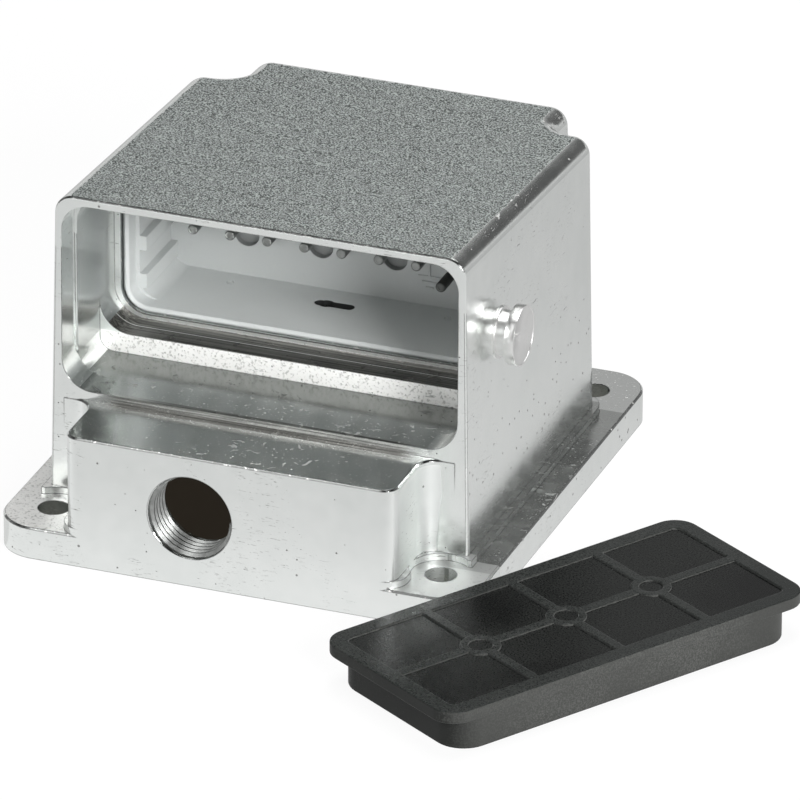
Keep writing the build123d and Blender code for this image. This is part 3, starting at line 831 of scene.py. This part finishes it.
# %% Make the rear screws
BULKHEAD, STRIP_THICK = 2.6 * MM, 0.8 * MM
HEAD_HEIGHT, WASHER_THICK, WASHER_RADIUS = 1.9 * MM, 0.5 * MM, 3.0 * MM
SEAT_INSET, SEAT_HIGH, LUG_INSET = 3.6 * MM, 58.6 * MM, 3.2 * MM
SCREW_TURN = 0.5
insert_low, insert_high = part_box("contact_insert")
strip_low, strip_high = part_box("earth_plate")
bulkhead_rear = insert_high.y + BULKHEAD
facing_rear = Matrix.Rotation(-QUARTER, 4, "X")
head = slotted("insert_screw", 2.75, 1.9, 0.8, 0.9, 0.7)
seats = [(side * (insert_high.x - SEAT_INSET), z)
         for z in (insert_low.z + SEAT_INSET, SEAT_HIGH) for side in (1, -1)]
for number, (x, z) in enumerate(seats, start=1):
    move = Matrix.Translation((x, bulkhead_rear + HEAD_HEIGHT, z)) @ facing_rear
    move = move @ Matrix.Rotation(SCREW_TURN * number, 4, "Z")
    hand_over(copy_to(head, f"insert_screw_{number}", move), zinc, "zinc_steel")

lug = Vector((strip_high.x - LUG_INSET, bulkhead_rear + STRIP_THICK,
              (strip_low.z + strip_high.z) / 2))
washer = primitive("cylinder", "earth_washer", vertices=40, radius=WASHER_RADIUS,
                   depth=WASHER_THICK, location=lug + Vector((0, WASHER_THICK / 2, 0)),
                   rotation=(QUARTER, 0, 0))
choose(washer, "FACE", lambda c, n: n.y > LEVEL)
bpy.ops.mesh.bevel(offset=0.12 * MM, segments=2, affect="EDGES")
hand_over(washer, zinc, "zinc_steel")
move = Matrix.Translation(lug + Vector((0, WASHER_THICK + HEAD_HEIGHT, 0))) @ facing_rear
hand_over(copy_to(head, "earth_screw", move), zinc, "zinc_steel")
bpy.data.objects.remove(head)
print("made", len(seats), "insert screws, an earth screw and its washer")

# %% [markdown]
# ## The thread of the cable entry
# The thread shows as bright turns inside the hole. Its ridge has the section
# of a small wedge that is carried along a helix. The section starts as a plane
# whose inner edge is scaled narrower, and only its outline is kept. The Screw
# modifier turns that outline round the axis and moves it on by one pitch a
# turn. The two open ends are filled, and the foot of the ridge is sunk into the
# wall of the bore.

# %% Make the thread
ENTRY = Vector((-8.0, -52.4, 14.8)) * MM
BORE_RADIUS = 8.7 * MM
THREAD_PITCH, THREAD_HEIGHT, THREAD_SUNK = 1.41 * MM, 0.65 * MM, 0.1 * MM
THREAD_TURNS, THREAD_STEPS = 5, 72
FOOT_SHARE, CREST_SHARE = 0.9, 0.2


def thread():
    """One ridge, turned round the axis of the entry and moved on by a pitch a turn."""
    outer, inner = BORE_RADIUS + THREAD_SUNK, BORE_RADIUS - THREAD_HEIGHT
    ridge = primitive("plane", "thread_ridge", size=outer - inner,
                      location=((outer + inner) / 2, 0, 0), rotation=(QUARTER, 0, 0))
    foot = FOOT_SHARE * THREAD_PITCH / (outer - inner)
    choose(ridge, "EDGE", lambda c, d: True)
    bpy.ops.transform.resize(value=(1, 1, foot), center_override=(0, 0, 0))
    choose(ridge, "EDGE", lambda c, d: c.x < inner + 0.01 * MM)
    bpy.ops.transform.resize(value=(1, 1, CREST_SHARE), center_override=(0, 0, 0))
    bpy.ops.mesh.select_all(action="SELECT")
    bpy.ops.mesh.delete(type="ONLY_FACE")
    modify(ridge, "SCREW", axis="Z", screw_offset=THREAD_PITCH, iterations=THREAD_TURNS,
           steps=THREAD_STEPS, render_steps=THREAD_STEPS)
    bpy.ops.object.mode_set(mode="EDIT")
    bpy.ops.mesh.select_all(action="SELECT")
    bpy.ops.mesh.fill_holes(sides=4)
    bpy.ops.mesh.select_all(action="SELECT")
    bpy.ops.mesh.normals_make_consistent(inside=False)
    bpy.ops.object.mode_set(mode="OBJECT")
    ridge.data.transform(Matrix.Translation(ENTRY) @ Matrix.Rotation(-QUARTER, 4, "X"))
    return ridge


made = hand_over(thread(), cut_metal, "cast_aluminium", smooth=25)
print("made", made.name, len(made.data.polygons), "faces")

# %% [markdown]
# ## Marks on the insert
# The back wall carries the earth sign beside the earth contact: three bars of
# falling width under a stem, raised by a fraction of a millimetre. The floor
# has two small round marks where the mould pushes the part out, each with a
# shallow dip in its top. They are thin pieces that stand on the plastic and
# share its finish, and the bars are bevelled.

# %% Make the earth sign and the ejector marks
BACK_WALL, SIGN_X, SIGN_RISE = 10.9 * MM, 17.7 * MM, 0.25 * MM
SIGN_BARS = ((42.6, 4.85, 0.45), (41.4, 3.3, 0.45), (40.2, 1.7, 0.45), (44.4, 0.45, 3.4))
INSERT_FLOOR, MARK_RISE, MARK_DIP = 1.2 * MM, 0.08 * MM, 0.06 * MM
MARK_RADIUS, MARK_RIM, MARK_DEEP = 0.85 * MM, 0.15 * MM, 6.7 * MM


def bar(z, width, height):
    """A flat bar on the back wall, its height and sizes in millimetres."""
    piece = primitive("cube", "bar", size=1, scale=(width * MM, SIGN_RISE, height * MM),
                      location=(SIGN_X, BACK_WALL - SIGN_RISE / 2, z * MM))
    soften(piece, 0.08, 2)
    return piece


hand_over(join("earth_sign", [bar(*sizes) for sizes in SIGN_BARS]), grey_plastic, "insert_grey")

mark_middle = insert_low.z + INSERT_FLOOR + MARK_RISE / 2
for number, x in enumerate((-23 * MM, 23 * MM), start=1):
    mark = primitive("cylinder", f"ejector_mark_{number}", vertices=32, radius=MARK_RADIUS,
                     depth=MARK_RISE, location=(x, MARK_DEEP, mark_middle))
    choose(mark, "FACE", lambda c, n: n.z > LEVEL)
    bpy.ops.mesh.inset(thickness=MARK_RIM)
    push(0, 0, -MARK_DIP)
    hand_over(mark, grey_plastic, "insert_grey")
print("made the earth sign and two ejector marks")

# %% [markdown]
# ## The dust cover: flange and cells
# The cover is a skirt that fits the opening, under a wider flange with low ribs
# in two rows of four cells. The flange starts as a block. Its upright edges are
# bevelled into round corners, its top is inset to leave a border, cut by planes
# along the ribs, and the cells between the cuts are pushed down. A last small
# bevel rounds every edge, as moulding does.

# %% Make the flange
COVER_TURN = math.radians(57.6)
COVER_SKIRT = 7.0 * MM
SKIRT_HALF, FLANGE_HALF = (40.9 * MM, 19.4 * MM), (43.9 * MM, 20.6 * MM)
SKIRT_ROUND, FLANGE_ROUND = 6.1 * MM, 5.0 * MM
BORDER, RIB, CELL_DEPTH = 3.6 * MM, 2.2 * MM, 0.5 * MM
CROSS_RIBS = (-1, 0, 1)
inner = (FLANGE_HALF[0] - BORDER, FLANGE_HALF[1] - BORDER)
rib_pitch = (2 * inner[0] - 3 * RIB) / 4 + RIB


def slab(name, half, low, high, rounding):
    """A block with round upright edges."""
    block = primitive("cube", name, size=1, location=(0, 0, (low + high) / 2),
                      scale=(2 * half[0], 2 * half[1], high - low))
    choose(block, "EDGE", lambda c, d: abs(d.z) > LEVEL)
    bpy.ops.mesh.bevel(offset=rounding, segments=10, affect="EDGES")
    return block


def inside_border(c, n):
    return n.z > LEVEL and abs(c.x) < inner[0] and abs(c.y) < inner[1]


def is_cell(c, n):
    from_rib = min(abs(c.x - k * rib_pitch) for k in CROSS_RIBS)
    return inside_border(c, n) and from_rib > RIB and abs(c.y) > RIB


def ribbed_flange():
    flange = slab("flange", FLANGE_HALF, COVER_SKIRT, COVER_TOP, FLANGE_ROUND)
    choose(flange, "FACE", lambda c, n: n.z > LEVEL)
    bpy.ops.mesh.inset(thickness=BORDER)
    cuts = [(k * rib_pitch + side * RIB / 2, 0) for k in CROSS_RIBS for side in (-1, 1)]
    cuts += [(side * RIB / 2, 1) for side in (-1, 1)]
    for cut, axis in cuts:
        choose(flange, "FACE", inside_border)
        point, normal = [0, 0, 0], [0, 0, 0]
        point[axis], normal[axis] = cut, 1
        bpy.ops.mesh.bisect(plane_co=point, plane_no=normal)
    choose(flange, "FACE", is_cell)
    push(0, 0, -CELL_DEPTH)
    soften(flange, 0.4, 4, over=40)
    return flange


flange = ribbed_flange()
print("made the flange,", len(flange.data.polygons), "faces")

# %% [markdown]
# ## The dust cover: skirt and bosses
# The skirt is a second block, hollowed from below. Where the middle rib meets
# each cross rib stands a round boss with a dimple. A hole is cut for it in the
# flange, a little narrower than the boss, so that no slit shows round it. The
# cover is then turned and laid down where the photo has it. Mirror reflections
# leave it out, because the block's polished corner doesn't show it there.

# %% Make the skirt and the bosses
SKIRT_OVERLAP, SKIRT_WALL = 0.2 * MM, 1.8 * MM
BOSS_RADIUS, DIMPLE_RADIUS, BOSS_HEIGHT = 4.0 * MM, 2.4 * MM, 1.0 * MM
SEAT_INSIDE, SEAT_HEIGHT = 0.2 * MM, 1.4 * MM


def hollow_skirt():
    skirt = slab("skirt", SKIRT_HALF, 0, COVER_SKIRT + SKIRT_OVERLAP, SKIRT_ROUND)
    choose(skirt, "FACE", lambda c, n: n.z < -LEVEL)
    bpy.ops.mesh.inset(thickness=SKIRT_WALL)
    push(0, 0, COVER_SKIRT - SKIRT_OVERLAP)
    soften(skirt, 0.3, 2, over=60)
    return skirt


def boss(x):
    """Cut a seat into the flange at x and make the boss that fills it."""
    seat = primitive("cylinder", "seat", vertices=32, radius=BOSS_RADIUS - SEAT_INSIDE,
                     depth=SEAT_HEIGHT, location=(x, 0, COVER_TOP))
    modify(flange, "BOOLEAN", object=seat, operation="DIFFERENCE", solver="EXACT")
    bpy.data.objects.remove(seat)
    made = primitive("cylinder", "boss", vertices=48, radius=BOSS_RADIUS, depth=BOSS_HEIGHT,
                     location=(x, 0, COVER_TOP - BOSS_HEIGHT / 2))
    choose(made, "FACE", lambda c, n: n.z > LEVEL)
    bpy.ops.mesh.inset(thickness=BOSS_RADIUS - DIMPLE_RADIUS)
    push(0, 0, -CELL_DEPTH)
    soften(made, 0.25, 4, over=40)
    return made


skirt = hollow_skirt()
cover = join("moulded_cover", [flange, skirt, *(boss(k * rib_pitch) for k in CROSS_RIBS)])
cover_low, cover_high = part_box("dust_cover")
middle = (cover_low + cover_high) / 2
move = Matrix.Translation((middle.x, middle.y, 0)) @ Matrix.Rotation(COVER_TURN, 4, "Z")
cover.data.transform(move)
hand_over(cover, black_plastic, "cover_black", "dust_cover", smooth=40, weighted=True)
cover.visible_glossy = False
print("made", cover.name, len(cover.data.polygons), "faces")

# %% [markdown]
# ## The floor
# Polished metal is mostly a picture of what surrounds it, so the surroundings
# matter more than the lamps. A Light Path node tells who looks at the floor.
# The camera sees nearly its own white, with a soft shadow. Reflections see a
# white that is brighter close in front of the object and lower behind it.
# Under the object and below the fixing holes the floor is painted dark, as
# painted shade for the inside of the housing, with a painted glow that keeps it
# from going quite black. Seen from below it is clear, so that the underside can
# be looked at.

# %% Make the floor
FLOOR_SIZE = 6
GLOW_SEEN, GLOW_MIRRORED, GLOW_BEHIND, GLOW_NEAR = 0.9, 0.74, 0.58, 0.16
HOLE_X, HOLE_Y, HOLE_RADIUS = 40.6 * MM, 43.6 * MM, 4.5 * MM
UNDER_X, UNDER_Y = 36 * MM, 50 * MM
NEAR_FROM, NEAR_TO, BEHIND_FULL = -100 * MM, -52 * MM, 150 * MM
floor = primitive("plane", "floor", size=FLOOR_SIZE, location=(0, 0, 0))
f = material("floor")
seen, mirrored, through = (f.node("ShaderNodeLightPath", out=f"Is {kind} Ray")
                           for kind in ("Camera", "Glossy", "Transmission"))
x, y = f.along(f.where(), "X"), f.along(f.where(), "Y")
to_hole = [(wire.math("ABSOLUTE") - middle).math("POWER", 2)
           for wire, middle in ((x, HOLE_X), (y, HOLE_Y))]
hole = to_hole[0] + to_hole[1] < HOLE_RADIUS ** 2
# Painted shade: the floor under the housing and below the fixing holes is dark.
under = between(x, -UNDER_X, UNDER_X) * between(y, -UNDER_Y, UNDER_Y)
under = under.math("MAXIMUM", hole)
behind = f.step(y, -UNDER_Y, BEHIND_FULL)
near = f.step(y, NEAR_FROM, NEAR_TO) * (y < -UNDER_Y) * GLOW_NEAR
level = seen + through + mirrored * (GLOW_MIRRORED + near + (GLOW_BEHIND - GLOW_MIRRORED) * behind)
share = (seen * GLOW_SEEN + through + mirrored) * (1 - under)
# Painted light: a weak glow inside the dark patches.
inner_glow = f.colour(hole, (0.018, 0.0145, 0.0105), (0.09, 0.09, 0.085))
f.set(
    Base_Color=f.colour(under, (0.9, 0.9, 0.9), (0.045, 0.038, 0.030)),
    Roughness=0.8,
    Emission_Color=f.colour(under, (0, 0, 0), inner_glow),
    Emission_Strength=1.0,
)
glow = f.node("ShaderNodeEmission", None, {"Color": level, "Strength": 1.0})
lit = Wire(f.tree, f.surface.outputs[0])
both = f.node("ShaderNodeMixShader", None, {0: share, 1: lit, 2: glow})
from_below = f.node("ShaderNodeNewGeometry", out="Backfacing")
clear = f.node("ShaderNodeBsdfTransparent")
both = f.node("ShaderNodeMixShader", None, {0: from_below, 1: both, 2: clear})
f.tree.links.new(both.socket, f.tree.nodes["Material Output"].inputs["Surface"])
floor.data.materials.append(f.owner)
print("the floor shows", GLOW_SEEN, "of its own white")

# %% [markdown]
# ## The sky
# The camera sees pure white. Everything else sees a white horizon, a grey wall
# above it that is lighter on the left, and darkness overhead. Faces that look up
# mirror the wall behind the object, and that is why they come out darker than
# the upright ones, which mirror the floor and the horizon.

# %% Make the sky
HORIZON, SKY_LEFT, SKY_RIGHT, OVERHEAD = 0.95, 0.62, 0.12, 0.05
sky = Finish(bpy.data.worlds.new("studio"))
bpy.context.scene.world = sky.owner
direction = sky.node("ShaderNodeTexCoord", out="Generated")
side, rise = sky.along(direction, "X"), sky.along(direction, "Z")
wall = SKY_RIGHT + (SKY_LEFT - SKY_RIGHT) * (1 - sky.step(side, -0.30, 0.05))
above, high = sky.step(rise, 0.02, 0.09), sky.step(rise, 0.52, 0.72)
level = (1 - above) * HORIZON + above * (wall * (1 - high) + high * OVERHEAD)
seen = sky.node("ShaderNodeLightPath", out="Is Camera Ray")
sky.set(Color=level.math("MAXIMUM", seen))
print("the sky is", HORIZON, "at the horizon,", SKY_LEFT, "to", SKY_RIGHT, "above it")

# %% [markdown]
# ## The lamps
# Four large soft lamps light the object from all round. The front one stands to
# the right and is the strongest: dull surfaces such as the roof and the cover's
# sides live on it. No lamp stands where the corner of the opening mirrors it.

# %% Hang the lamps
LAMP_TARGET = Vector((0, 0, 0.03))
LAMPS = {
    "key": ((-0.45, -0.9, 1.1), 0.6, 5),
    "front": ((1.12, -1.10, 0.72), 0.5, 29),
    "top": ((0.1, 0.2, 1.5), 0.7, 12),
    "back": ((0.3, 1.0, 1.3), 0.8, 5),
}
for name, (place, size, power) in LAMPS.items():
    light = bpy.data.lights.new(name, "AREA")
    light.shape, light.size, light.energy = "SQUARE", size, power
    holder = bpy.data.objects.new(name, light)
    holder.location = place
    holder.rotation_euler = (LAMP_TARGET - Vector(place)).to_track_quat("-Z", "Y").to_euler()
    bpy.context.scene.collection.objects.link(holder)
    print("hung the", name, "lamp:", power, "W")
bpy.context.scene.view_settings.view_transform = "Standard"
